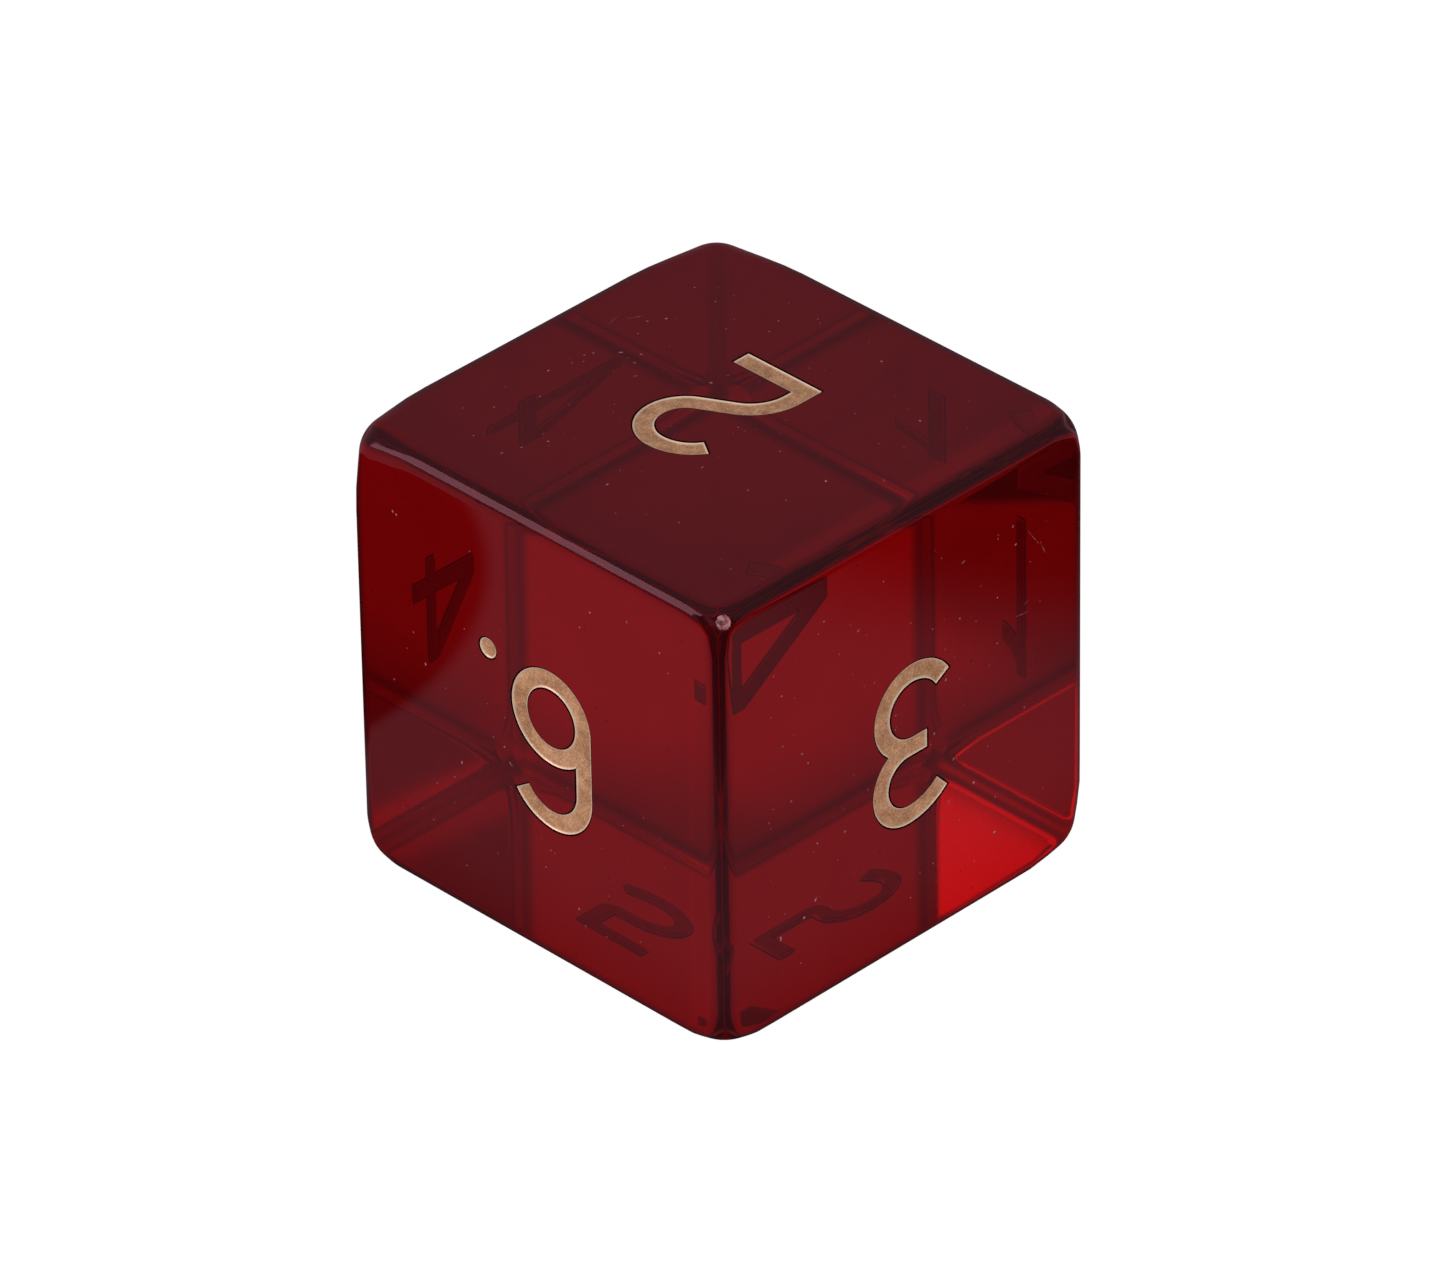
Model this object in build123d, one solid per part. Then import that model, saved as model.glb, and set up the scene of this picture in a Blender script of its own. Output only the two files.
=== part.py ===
from build123d import *

import os
from math import cos, radians, sin, sqrt

# A numbered six-sided gaming die, cast in clear red resin. Each face has one numeral engraved in it,
# and each engraving is filled with metallic paint that dries a little below the face. The 6 has a
# full stop after it, so that it can't be read as a 9.
#
# Millimetres. The origin is the middle of the bottom face and +Z is up. The die rests on its 5, so
# the 2 is on top, the 6 faces -Y and the 3 faces +X. Opposite faces add up to seven.

# The cast body
SIZE = 16.0             # across any two opposite faces
EDGE_RADIUS = 0.45      # the rounding that tumbling leaves along every edge
CORNER_LOSS = 1.4       # how much of each edge's end the rounder corner takes away

# The numerals
STROKE = 0.66           # width of every stroke
HEIGHT = 5.8            # height of every numeral
DOT_DIAMETER = 0.70     # the full stop after the 6
ENGRAVING_DEPTH = 0.12  # from the face to the floor of an engraving
PAINT_RECESS = 0.04     # from the face down to the dried paint

HALF = SIZE / 2
HALF_STROKE = STROKE / 2
TOP_LINE = HEIGHT - HALF_STROKE    # middle of a stroke that touches the top of a numeral
BASE_LINE = HALF_STROKE            # middle of a stroke that touches its bottom

# Where each numeral sits: the face it is on, which way its top points, and where its own origin
# lies from the middle of the face, along the numeral's right and up. Each numeral's origin is on
# its bottom line, under the middle of its bowl or its stem.
FACES = {
    1: {"outward": (0, 1, 0), "top": (0, 0, -1), "shift": (1.58, -2.85)},
    2: {"outward": (0, 0, 1), "top": (0, -1, 0), "shift": (0.43, -3.25)},
    3: {"outward": (1, 0, 0), "top": (0, 0, -1), "shift": (-0.29, -2.50)},
    4: {"outward": (-1, 0, 0), "top": (0, 1, 0), "shift": (0.45, -2.05)},
    5: {"outward": (0, 0, -1), "top": (0, -1, 0), "shift": (0.80, -2.72)},
    6: {"outward": (0, -1, 0), "top": (0, 0, -1), "shift": (-0.70, -2.83)},
}
DOT_FROM_SIX = (2.70, 0.36)        # middle of the full stop, from the 6's origin


# ---- strokes ----

def straight(start, end):
    """A straight stroke whose middle line runs from start to end."""
    path = Line(start, end)
    middle = Location(path @ 0.5)
    turn = Rot(0, 0, path.tangent_angle_at(0))
    return middle * turn * Rectangle(path.length, STROKE)


def curved(centre, radius, start_angle, end_angle):
    """A curved stroke whose middle line is the arc between two angles, anticlockwise."""
    sweep_angle = end_angle - start_angle
    outer = CenterArc(centre, radius + HALF_STROKE, start_angle, sweep_angle)
    inner = CenterArc(centre, radius - HALF_STROKE, start_angle, sweep_angle)
    ends = Line(outer @ 1, inner @ 1) + Line(inner @ 0, outer @ 0)
    return make_face(outer + inner + ends)


def polar(centre, radius, angle):
    """The point at an angle on a circle."""
    return centre[0] + radius * cos(radians(angle)), centre[1] + radius * sin(radians(angle))


def block(left, bottom, right, top):
    """A rectangle given by its sides."""
    return Pos((left + right) / 2, (bottom + top) / 2) * Rectangle(right - left, top - bottom)


# ---- numerals, each upright in its own frame: x right, y up, bottom line at y = 0 ----

def one():
    flag_reach = 1.75            # the flag curves out from the stem and ends level
    flag_height = 4.50
    flag_radius = 2.20
    flag_turn = 60               # more than enough to bury its end in the stem

    stem = block(-HALF_STROKE, 0, HALF_STROKE, HEIGHT)
    flag_centre = (-flag_reach, flag_height + flag_radius)
    flag = curved(flag_centre, flag_radius, 270, 270 + flag_turn)
    left_of_stem = block(-flag_reach, 0, HALF_STROKE, HEIGHT)
    return stem + (flag & left_of_stem)


def two():
    bowl_radius = 1.27
    bowl = (0, TOP_LINE - bowl_radius)
    hook_radius = 1.66           # the bowl opens out towards its free end
    hook_end = 148
    neck_angle = 28              # slope of the straight neck between the bowl and the foot
    foot_radius = 1.76
    foot_x = -1.40               # middle of the upright that the foot's curve ends in
    base_end = 1.43

    # the neck touches both curves, which sets how high the foot's curve lies
    foot_offset = foot_x + foot_radius
    drop = bowl_radius + foot_radius - foot_offset * sin(radians(neck_angle))
    foot = (foot_offset, bowl[1] - drop / cos(radians(neck_angle)))
    neck = straight(
        polar(bowl, bowl_radius, neck_angle - 90),
        polar(foot, foot_radius, neck_angle + 90),
    )
    hook = curved((0, TOP_LINE - hook_radius), hook_radius, 90, hook_end)
    upright = straight((foot_x, foot[1]), (foot_x, 0))
    base = block(foot_x - HALF_STROKE, 0, base_end, STROKE)
    return (
        hook
        + curved(bowl, bowl_radius, neck_angle - 90, 90)
        + neck
        + curved(foot, foot_radius, neck_angle + 90, 180)
        + upright
        + base
    )


def three():
    waist = 3.01                 # height of the middle bar
    bar_end = -0.61
    upper_x = 0.19               # the upper lobe stands a little right of the lower one
    upper_radius = (TOP_LINE - waist) / 2
    lower_radius = (waist - BASE_LINE) / 2
    upper_hook_radius = 2.125    # both lobes open out towards their free ends
    upper_hook_end = 133
    lower_hook_radius = 1.525
    lower_hook_end = 211.5

    upper_hook = (upper_x, TOP_LINE - upper_hook_radius)
    lower_hook = (0, BASE_LINE + lower_hook_radius)
    return (
        curved(upper_hook, upper_hook_radius, 90, upper_hook_end)
        + curved((upper_x, waist + upper_radius), upper_radius, -90, 90)
        + straight((bar_end, waist), (upper_x, waist))
        + curved((0, waist - lower_radius), lower_radius, -90, 90)
        + curved(lower_hook, lower_hook_radius, lower_hook_end, 270)
    )


def four():
    bar_bottom = 1.37
    left = -2.80
    right = 1.05

    stem = block(-HALF_STROKE, 0, HALF_STROKE, HEIGHT)
    bar = block(left, bar_bottom, right, bar_bottom + STROKE)
    slope = straight((left, bar_bottom + HALF_STROKE / 2), (0, HEIGHT))
    above_bar = block(left, bar_bottom, HALF_STROKE, HEIGHT)
    return stem + bar + (slope & above_bar)


def five():
    stem_x = -1.07
    flag_end = 1.45
    bowl_radius = 1.40
    shoulder = BASE_LINE + 2 * bowl_radius    # height of the stroke that runs into the bowl
    turn_radius = 0.50           # the stem turns into that stroke round a small curve
    hook_radius = 2.60
    hook_end = 236

    turn = (stem_x + turn_radius, shoulder + turn_radius)
    return (
        block(stem_x - HALF_STROKE, HEIGHT - STROKE, flag_end, HEIGHT)
        + straight((stem_x, HEIGHT), (stem_x, turn[1]))
        + curved(turn, turn_radius, 180, 270)
        + straight((turn[0], shoulder), (0, shoulder))
        + curved((0, BASE_LINE + bowl_radius), bowl_radius, -90, 90)
        + curved((0, BASE_LINE + hook_radius), hook_radius, hook_end, 270)
    )


def six():
    radius = 1.37                # of the bowl and of the shoulder at the top
    bowl = (0, BASE_LINE + radius)
    shoulder = (0, TOP_LINE - radius)
    hook_radius = 1.60
    hook_end = 34

    ring = Pos(*bowl) * (Circle(radius + HALF_STROKE) - Circle(radius - HALF_STROKE))
    return (
        ring
        + straight((-radius, bowl[1]), (-radius, shoulder[1]))
        + curved(shoulder, radius, 90, 180)
        + curved((0, TOP_LINE - hook_radius), hook_radius, hook_end, 90)
    )


NUMERALS = {1: one, 2: two, 3: three, 4: four, 5: five, 6: six}


# ---- the die ----

def face_plane(number):
    """The plane of a face, with the numeral's right as x, its top as y and outward as z."""
    outward = Vector(*FACES[number]["outward"])
    top = Vector(*FACES[number]["top"])
    centre = Vector(0, 0, HALF) + outward * HALF
    return Plane(origin=centre, x_dir=top.cross(outward), z_dir=outward)


def on_face(number, outline):
    """Move a flat outline from the numeral's own frame to its place on the die."""
    return face_plane(number) * Pos(*FACES[number]["shift"]) * outline


def engraving(outline):
    """The pocket that an outline on a face cuts into the body."""
    return extrude(outline, amount=-ENGRAVING_DEPTH)


def paint(outline):
    """The paint that fills an engraving up to a little below the face."""
    return engraving(outline) - extrude(outline, amount=-PAINT_RECESS)


def cast_body():
    """The blank cube, with rounded edges and rounder corners."""
    corner_sphere = sqrt(2 * HALF**2 + (HALF - CORNER_LOSS) ** 2)
    blank = Box(SIZE, SIZE, SIZE) & Sphere(corner_sphere)
    return Pos(0, 0, HALF) * fillet(blank.edges(), EDGE_RADIUS)


def main():
    outlines = {f"numeral_{n}_paint": on_face(n, NUMERALS[n]()) for n in NUMERALS}
    dot = Pos(*DOT_FROM_SIX) * Circle(DOT_DIAMETER / 2)
    outlines["six_dot_paint"] = on_face(6, dot)

    body = cast_body()
    for outline in outlines.values():
        body -= engraving(outline)
    nodes = {"die_body": body}
    for name, outline in outlines.items():
        nodes[name] = paint(outline)

    os.makedirs("parts", exist_ok=True)
    for name, shape in nodes.items():
        export_step(shape, f"parts/{name}.step")


main()
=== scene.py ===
import math
import random
from itertools import product

import bpy
import numpy as np
from mathutils import Matrix, Vector, noise
from mathutils.geometry import delaunay_2d_cdt

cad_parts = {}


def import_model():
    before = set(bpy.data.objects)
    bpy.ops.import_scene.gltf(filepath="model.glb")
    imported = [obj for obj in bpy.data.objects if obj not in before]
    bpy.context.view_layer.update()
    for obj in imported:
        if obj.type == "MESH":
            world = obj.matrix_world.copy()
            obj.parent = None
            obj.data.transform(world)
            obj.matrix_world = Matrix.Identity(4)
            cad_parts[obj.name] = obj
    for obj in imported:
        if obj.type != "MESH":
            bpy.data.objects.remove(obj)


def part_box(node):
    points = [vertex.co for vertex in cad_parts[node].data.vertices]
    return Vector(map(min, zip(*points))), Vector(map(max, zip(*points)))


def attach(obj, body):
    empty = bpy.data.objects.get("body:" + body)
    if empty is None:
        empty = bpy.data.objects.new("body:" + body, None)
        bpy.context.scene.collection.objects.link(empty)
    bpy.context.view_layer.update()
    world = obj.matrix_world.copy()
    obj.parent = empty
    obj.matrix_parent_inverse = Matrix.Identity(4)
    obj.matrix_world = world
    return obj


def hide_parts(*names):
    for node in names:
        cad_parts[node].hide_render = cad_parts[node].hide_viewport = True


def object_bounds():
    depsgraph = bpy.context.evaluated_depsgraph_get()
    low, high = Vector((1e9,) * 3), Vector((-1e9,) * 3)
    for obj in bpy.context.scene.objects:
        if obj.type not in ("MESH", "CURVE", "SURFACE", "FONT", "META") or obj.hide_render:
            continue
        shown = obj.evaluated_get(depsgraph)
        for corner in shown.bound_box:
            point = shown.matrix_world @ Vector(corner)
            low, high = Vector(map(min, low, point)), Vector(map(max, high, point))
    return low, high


# The looks of a numbered gaming die in clear red resin, with metallic paint in its engravings.
#
# Blender's own unit here is the metre. Lengths below are in millimetres, because the die is small,
# and they are turned into metres when a mesh, a light or the camera is made.

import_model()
cad_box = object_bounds()

MM = 0.001  # one millimetre, in metres
CAD_LOW = np.array(cad_box[0]) / MM
CAD_HIGH = np.array(cad_box[1]) / MM
CENTRE = (CAD_LOW + CAD_HIGH) / 2
HALF = float(CAD_HIGH[2] - CAD_LOW[2]) / 2

# The cast body
EDGE_ZONE = 0.62        # how far from every edge its rounding starts
EDGE_SOFTNESS = 2.4     # 2 would be a plain arc; more turns tighter in its middle
# How far from each corner the tumbling has worn the edges rounder, and the rounding at the corner
CORNERS = {
    (-1, -1, -1): (1.6, 1.2),
    (-1, -1, 1): (3.0, 1.2),
    (-1, 1, -1): (2.2, 1.3),
    (-1, 1, 1): (4.0, 1.35),
    (1, -1, -1): (1.8, 1.4),
    (1, -1, 1): (1.5, 0.95),
    (1, 1, -1): (2.6, 1.3),
    (1, 1, 1): (1.6, 1.2),
}

# The engravings
STROKE = 0.66       # width of every stroke
HEIGHT = 5.8        # height of every numeral
RIM_SPREAD = 0.050  # how far outside a stroke its engraving starts to dip
FLOOR_INSET = 0.10  # how much narrower the floor is, each side, than the stroke
PATCH = 6.4         # half the side of the square that a face's engraving lies in

# The paint
PAINT_BITE = 0.004      # how far the paint's own faces lie inside the resin's
PAINT_TOP = 0.020       # from the face down to where the paint meets the wall
PAINT_SAG = 0.040       # how much lower it lies away from the walls
MENISCUS = 0.040        # how wide the curve is in which it climbs a wall
RIM_SHINE = 0.050       # how wide the painted highlight along the wall is
PAINT_RIPPLE = 0.006    # unevenness of the dried coat

# Steps of curved outlines
ARC_STEP = 5.0                  # degrees
SMOOTH_TURN = math.radians(25)  # a corner that turns less than this is shaded smooth

# Which way the face of each numeral points, and which way the numeral's top points
FACES = {
    1: ((0, 1, 0), (0, 0, -1)),
    2: ((0, 0, 1), (0, -1, 0)),
    3: ((1, 0, 0), (0, 0, -1)),
    4: ((-1, 0, 0), (0, 1, 0)),
    5: ((0, 0, -1), (0, -1, 0)),
    6: ((0, -1, 0), (0, 0, -1)),
}

HALF_STROKE = STROKE / 2
TOP_LINE = HEIGHT - HALF_STROKE
BASE_LINE = HALF_STROKE


# ---- strokes: flat polygons, each numeral upright with its bottom line at y = 0 ----

OVERLAP = 0.015     # strokes that meet end to end run this far into each other
OVERLAP_TURN = 1.5  # and curves this many degrees


def straight(start, end):
    """A straight stroke whose middle line runs from start to end, and a little past both."""
    start, end = np.array(start, float), np.array(end, float)
    along = (end - start) / np.linalg.norm(end - start)
    start, end = start - OVERLAP * along, end + OVERLAP * along
    side = HALF_STROKE * np.array([-along[1], along[0]])
    return [start - side, end - side, end + side, start + side]


def polar(centre, radius, angle):
    """The point at an angle on a circle."""
    turn = math.radians(angle)
    return np.array([centre[0] + radius * math.cos(turn), centre[1] + radius * math.sin(turn)])


def arc(centre, radius, start_angle, end_angle):
    """Points along a circle between two angles."""
    steps = max(1, math.ceil(abs(end_angle - start_angle) / ARC_STEP))
    return [polar(centre, radius, a) for a in np.linspace(start_angle, end_angle, steps + 1)]


def curved(centre, radius, start_angle, end_angle):
    """A curved stroke whose middle line is the arc between two angles, anticlockwise."""
    outer = arc(centre, radius + HALF_STROKE, start_angle, end_angle)
    inner = arc(centre, radius - HALF_STROKE, start_angle, end_angle)
    return outer + inner[::-1]


def block(left, bottom, right, top):
    """A rectangle given by its sides."""
    return [np.array(p, float) for p in ((left, bottom), (right, bottom), (right, top), (left, top))]


# A numeral is a list of strokes. A stroke is a list of polygons, and it is what they all cover.

def one():
    flag_reach = 1.75
    flag_height = 4.50
    flag_radius = 2.20
    flag_turn = 60
    flag_centre = (-flag_reach, flag_height + flag_radius)
    flag = curved(flag_centre, flag_radius, 270, 270 + flag_turn)
    return [
        [block(-HALF_STROKE, 0, HALF_STROKE, HEIGHT)],
        [flag, block(-flag_reach, 0, HALF_STROKE, HEIGHT)],
    ]


def two():
    bowl_radius = 1.27
    bowl = (0, TOP_LINE - bowl_radius)
    hook_radius = 1.66
    hook_end = 148
    neck_angle = 28
    foot_radius = 1.76
    foot_x = -1.40
    base_end = 1.43

    foot_offset = foot_x + foot_radius
    drop = bowl_radius + foot_radius - foot_offset * math.sin(math.radians(neck_angle))
    foot = (foot_offset, bowl[1] - drop / math.cos(math.radians(neck_angle)))
    neck_top = polar(bowl, bowl_radius, neck_angle - 90)
    neck_bottom = polar(foot, foot_radius, neck_angle + 90)
    return [
        [curved((0, TOP_LINE - hook_radius), hook_radius, 90 - OVERLAP_TURN, hook_end)],
        [curved(bowl, bowl_radius, neck_angle - 90, 90)],
        [straight(neck_top, neck_bottom)],
        [curved(foot, foot_radius, neck_angle + 90, 180)],
        [straight((foot_x, foot[1]), (foot_x, BASE_LINE))],
        [block(foot_x - HALF_STROKE, 0, base_end, STROKE)],
    ]


def three():
    waist = 3.01
    bar_end = -0.61
    upper_x = 0.19
    upper_radius = (TOP_LINE - waist) / 2
    lower_radius = (waist - BASE_LINE) / 2
    upper_hook_radius = 2.125
    upper_hook_end = 133
    lower_hook_radius = 1.525
    lower_hook_end = 211.5
    upper_hook = (upper_x, TOP_LINE - upper_hook_radius)
    lower_hook = (0, BASE_LINE + lower_hook_radius)
    return [
        [curved(upper_hook, upper_hook_radius, 90 - OVERLAP_TURN, upper_hook_end)],
        [curved((upper_x, waist + upper_radius), upper_radius, -90, 90)],
        [straight((bar_end + OVERLAP, waist), (upper_x, waist))],
        [curved((0, waist - lower_radius), lower_radius, -90, 90)],
        [curved(lower_hook, lower_hook_radius, lower_hook_end, 270 + OVERLAP_TURN)],
    ]


def four():
    bar_bottom = 1.37
    left = -2.80
    right = 1.05
    slope = straight((left, bar_bottom + HALF_STROKE / 2), (0, HEIGHT))
    return [
        [block(-HALF_STROKE, 0, HALF_STROKE, HEIGHT)],
        [block(left, bar_bottom, right, bar_bottom + STROKE)],
        [slope, block(left, bar_bottom, HALF_STROKE, HEIGHT)],
    ]


def five():
    stem_x = -1.07
    flag_end = 1.45
    bowl_radius = 1.40
    shoulder = BASE_LINE + 2 * bowl_radius
    turn_radius = 0.50
    hook_radius = 2.60
    hook_end = 236
    turn = (stem_x + turn_radius, shoulder + turn_radius)
    return [
        [block(stem_x - HALF_STROKE, HEIGHT - STROKE, flag_end, HEIGHT)],
        [straight((stem_x, TOP_LINE), (stem_x, turn[1]))],
        [curved(turn, turn_radius, 180, 270)],
        [straight((turn[0], shoulder), (0, shoulder))],
        [curved((0, BASE_LINE + bowl_radius), bowl_radius, -90, 90)],
        [curved((0, BASE_LINE + hook_radius), hook_radius, hook_end, 270 + OVERLAP_TURN)],
    ]


def six():
    radius = 1.37
    bowl = (0, BASE_LINE + radius)
    shoulder = (0, TOP_LINE - radius)
    hook_radius = 1.60
    hook_end = 34
    return [
        [curved(bowl, radius, -OVERLAP_TURN, 180)],
        [curved(bowl, radius, 180 - OVERLAP_TURN, 360)],
        [straight((-radius, bowl[1]), (-radius, shoulder[1]))],
        [curved(shoulder, radius, 90, 180)],
        [curved((0, TOP_LINE - hook_radius), hook_radius, hook_end, 90 + OVERLAP_TURN)],
    ]


def full_stop():
    radius = 0.35
    return [[arc((0, 0), radius, 0, 360)[:-1]]]


# Every engraving: its CAD node, its face and its strokes
NUMERALS = (one, two, three, four, five, six)
ENGRAVINGS = [(f"numeral_{n}_paint", n, strokes) for n, strokes in enumerate(NUMERALS, 1)]
ENGRAVINGS.append(("six_dot_paint", 6, full_stop))


# ---- outlines: closed loops of points, with the engraving on the left of each ----

MERGE = 1e-5            # points nearer than this are one point
TINY = 1e-12            # keeps a length that is divided by above zero
SHORTEST_SIDE = 0.012   # an outline has no side shorter than this
STRAIGHT_ENOUGH = 1e-4  # a point this near to the line between its neighbours is dropped
CORNER_CLEAR = 0.16     # and so is a point of a curve this near to a sharp corner


def signed_area(loop):
    """The area in a loop, above zero if the loop runs anticlockwise."""
    loop = np.array(loop)
    following = np.roll(loop, -1, axis=0)
    return (loop[:, 0] * following[:, 1] - loop[:, 1] * following[:, 0]).sum() / 2


def triangulate(loops, points=()):
    """Triangles between closed loops and loose points: (vertices, triangles, loops round each)."""
    vertices, faces = [], []
    for loop in loops:
        around = list(range(len(vertices), len(vertices) + len(loop)))
        faces.append(around if signed_area(loop) > 0 else around[::-1])
        vertices += [Vector(p) for p in loop]
    vertices += [Vector(p) for p in points]
    result = delaunay_2d_cdt(vertices, [], faces, 1, MERGE)
    return np.array([tuple(v) for v in result[0]]), result[2], result[5]


def union(strokes):
    """The outline loops of strokes that overlap."""
    polygons = [polygon for stroke in strokes for polygon in stroke]
    owners, first = [], 0
    for stroke in strokes:
        owners.append(set(range(first, first + len(stroke))))
        first += len(stroke)
    vertices, triangles, inside = triangulate(polygons)
    sides = set()
    for triangle, polygons_round_it in zip(triangles, inside):
        if any(needed <= set(polygons_round_it) for needed in owners):
            for a, b in zip(triangle, triangle[1:] + triangle[:1]):
                sides.add((a, b))
    following = {a: b for a, b in sides if (b, a) not in sides}
    loops = []
    while following:
        start, at = next(iter(following.items()))
        loop = [start]
        del following[start]
        while at != start:
            loop.append(at)
            at = following.pop(at)
        loops.append(tidy(vertices[loop]))
    return loops


def tidy(loop):
    """A loop without points that crowd each other or lie on a straight side."""
    points = list(loop)
    changed = True
    while changed:
        changed = False
        for i, here in enumerate(points):
            before, after = points[i - 1], points[(i + 1) % len(points)]
            span = after - before
            off_line = abs(span[0] * (here - before)[1] - span[1] * (here - before)[0])
            crowded = np.linalg.norm(after - here) < SHORTEST_SIDE
            if crowded or off_line < STRAIGHT_ENOUGH * np.linalg.norm(span):
                del points[i]
                changed = True
                break
    return cleared(np.array(points))


def side_normals(loop):
    """The unit vectors away from the engraving, of the sides before and after every point."""
    along = np.roll(loop, -1, axis=0) - loop
    along /= np.linalg.norm(along, axis=1)[:, None]
    after = np.stack([along[:, 1], -along[:, 0]], axis=1)
    return np.roll(after, 1, axis=0), after


def sharp_corners(loop):
    """Which corners of a loop turn too much to be shaded smooth."""
    before, after = side_normals(loop)
    return (before * after).sum(axis=1) < math.cos(SMOOTH_TURN)


def cleared(loop):
    """A loop without the points of its curves that crowd its sharp corners."""
    sharp = sharp_corners(loop)
    corners = loop[sharp]
    kept = [is_sharp or all(np.linalg.norm(corners - point, axis=1) > CORNER_CLEAR)
            for point, is_sharp in zip(loop, sharp)]
    return loop[kept]


def grown(loop, distance):
    """A loop moved away from the engraving, with mitred corners."""
    before, after = side_normals(loop)
    middle = before + after
    return loop + distance * middle / (1 + (before * after).sum(axis=1))[:, None]


def corner_normals(loop):
    """The normal at the start and at the end of every side, smooth where the loop turns gently."""
    before, after = side_normals(loop)
    sharp = sharp_corners(loop)[:, None]
    middle = (before + after) / np.linalg.norm(before + after, axis=1)[:, None]
    start = np.where(sharp, after, middle)
    end = np.roll(np.where(sharp, before, middle), -1, axis=0)
    return start, end


# ---- meshes that are made face by face, with the normal of every corner ----

class Skin:
    """Collects faces in millimetres. Corners at the same place become one vertex."""

    def __init__(self):
        self.places, self.faces, self.normals, self.slots = [], [], [], []
        self.index = {}

    def vertex(self, place):
        low, high = np.round(place / MERGE - 0.2), np.round(place / MERGE + 0.2)
        for key in product(*zip(low, high)):
            if key in self.index:
                return self.index[key]
        key = tuple(np.round(place / MERGE))
        self.index[key] = len(self.places)
        self.places.append(place)
        return self.index[key]

    def add(self, places, normals, slot=0):
        corners = [self.vertex(p) for p in places]
        kept = [i for i in range(len(corners)) if corners[i] != corners[i - 1]]
        if len(kept) >= 3:
            self.faces.append([corners[i] for i in kept])
            self.normals += [normals[i] for i in kept]
            self.slots.append(slot)

    def build(self, name, *materials):
        mesh = bpy.data.meshes.new(name)
        mesh.from_pydata((np.array(self.places) * MM).tolist(), [], self.faces)
        mesh.polygons.foreach_set("use_smooth", [True] * len(mesh.polygons))
        mesh.normals_split_custom_set(np.array(self.normals).tolist())
        for material in materials:
            mesh.materials.append(material)
        mesh.polygons.foreach_set("material_index", self.slots)
        piece = bpy.data.objects.new(name, mesh)
        bpy.context.scene.collection.objects.link(piece)
        return piece


class Face:
    """One face of the die, with its own flat frame: right, top and outward."""

    def __init__(self, number):
        self.outward, self.top = np.array(FACES[number], float)
        self.right = np.cross(self.top, self.outward)
        self.axes = np.array([self.right, self.top, self.outward])

    def place(self, flat, depth):
        """Points of the face's frame, at a depth below it, in the row frame."""
        flat = np.atleast_2d(flat)
        deep = HALF - np.broadcast_to(depth, len(flat))
        return CENTRE + np.column_stack([flat, deep]) @ self.axes

    def direction(self, flat, out):
        """Directions with a part along the face and a part out of it."""
        flat = np.atleast_2d(flat)
        whole = np.column_stack([flat, np.broadcast_to(out, len(flat))])
        whole = whole / np.linalg.norm(whole, axis=1)[:, None]
        return whole @ self.axes

    def outline(self, node, strokes):
        """The numeral's loops, moved to where its CAD node lies on the face."""
        loops = union(strokes)
        every = np.concatenate(loops)
        middle = (every.min(axis=0) + every.max(axis=0)) / 2
        low, high = (np.array(corner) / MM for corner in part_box(node))
        wanted = self.axes[:2] @ ((low + high) / 2 - CENTRE)
        return [loop + wanted - middle for loop in loops]

    def depth_range(self, node):
        """How far below the face a CAD node starts and ends."""
        low, high = (self.outward @ (np.array(c) / MM - CENTRE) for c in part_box(node))
        return HALF - max(low, high), HALF - min(low, high)


# ---- the resin body ----

# Where the grid lines of a face run, from its middle: close together in the rounding of the edge,
# further apart up to the square of the engraving, and furthest along that
ROUNDING_STEPS = 13
BORDER_STEPS = 8
PATCH_STEPS = 16
TICKS_FROM_EDGE = np.concatenate([
    np.linspace(0, EDGE_ZONE, ROUNDING_STEPS + 1),
    np.linspace(EDGE_ZONE, HALF - PATCH, BORDER_STEPS + 1)[1:],
])
TICKS = np.concatenate([
    TICKS_FROM_EDGE - HALF,
    np.linspace(-PATCH, PATCH, PATCH_STEPS + 1)[1:-1],
    (HALF - TICKS_FROM_EDGE)[::-1],
])

# Small chips on the edges: where, measured from the middle of the die, how wide and how deep
CHIPS = [
    ((7.80, -7.56, 7.70), 0.30, 0.10),
    ((7.82, 3.75, 7.84), 0.13, 0.05),
    ((7.84, 4.10, 7.80), 0.10, 0.04),
    ((7.82, 4.70, 7.84), 0.16, 0.06),
    ((7.74, -4.90, 7.88), 0.10, 0.04),
    ((7.60, 7.30, 7.60), 0.14, 0.05),
]
CHIP_FROST = (0.30, 0.80)   # share of a chip's radius between which it is frosted
NORMAL_STEP = 1e-4          # the step that a normal of the skin is worked out from


def smooth_step(x):
    x = np.clip(x, 0, 1)
    return x * x * (3 - 2 * x)


def rounding(p):
    """The width of the rounded zone at points of the sharp cube."""
    width = np.full(len(p), EDGE_ZONE)
    for signs, (reach, at_corner) in CORNERS.items():
        depth = np.abs(p - HALF * np.array(signs))
        near = smooth_step((reach - depth) / reach).prod(axis=1)
        width += (at_corner - EDGE_ZONE) * near
    return width


def rounded(p):
    """Points of the sharp cube, moved in to its rounded skin."""
    width = rounding(p)[:, None]
    core = np.clip(p, width - HALF, HALF - width)
    out = p - core
    size = (np.abs(out) ** EDGE_SOFTNESS).sum(axis=1) ** (1 / EDGE_SOFTNESS)
    skin = core + width * out / size[:, None]
    for centre, radius, depth in CHIPS:
        centre = np.array(centre, float)
        bite = smooth_step(1 - np.linalg.norm(skin - centre, axis=1) / radius)
        skin = skin - (depth * bite)[:, None] * centre / np.linalg.norm(centre)
    return skin


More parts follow.
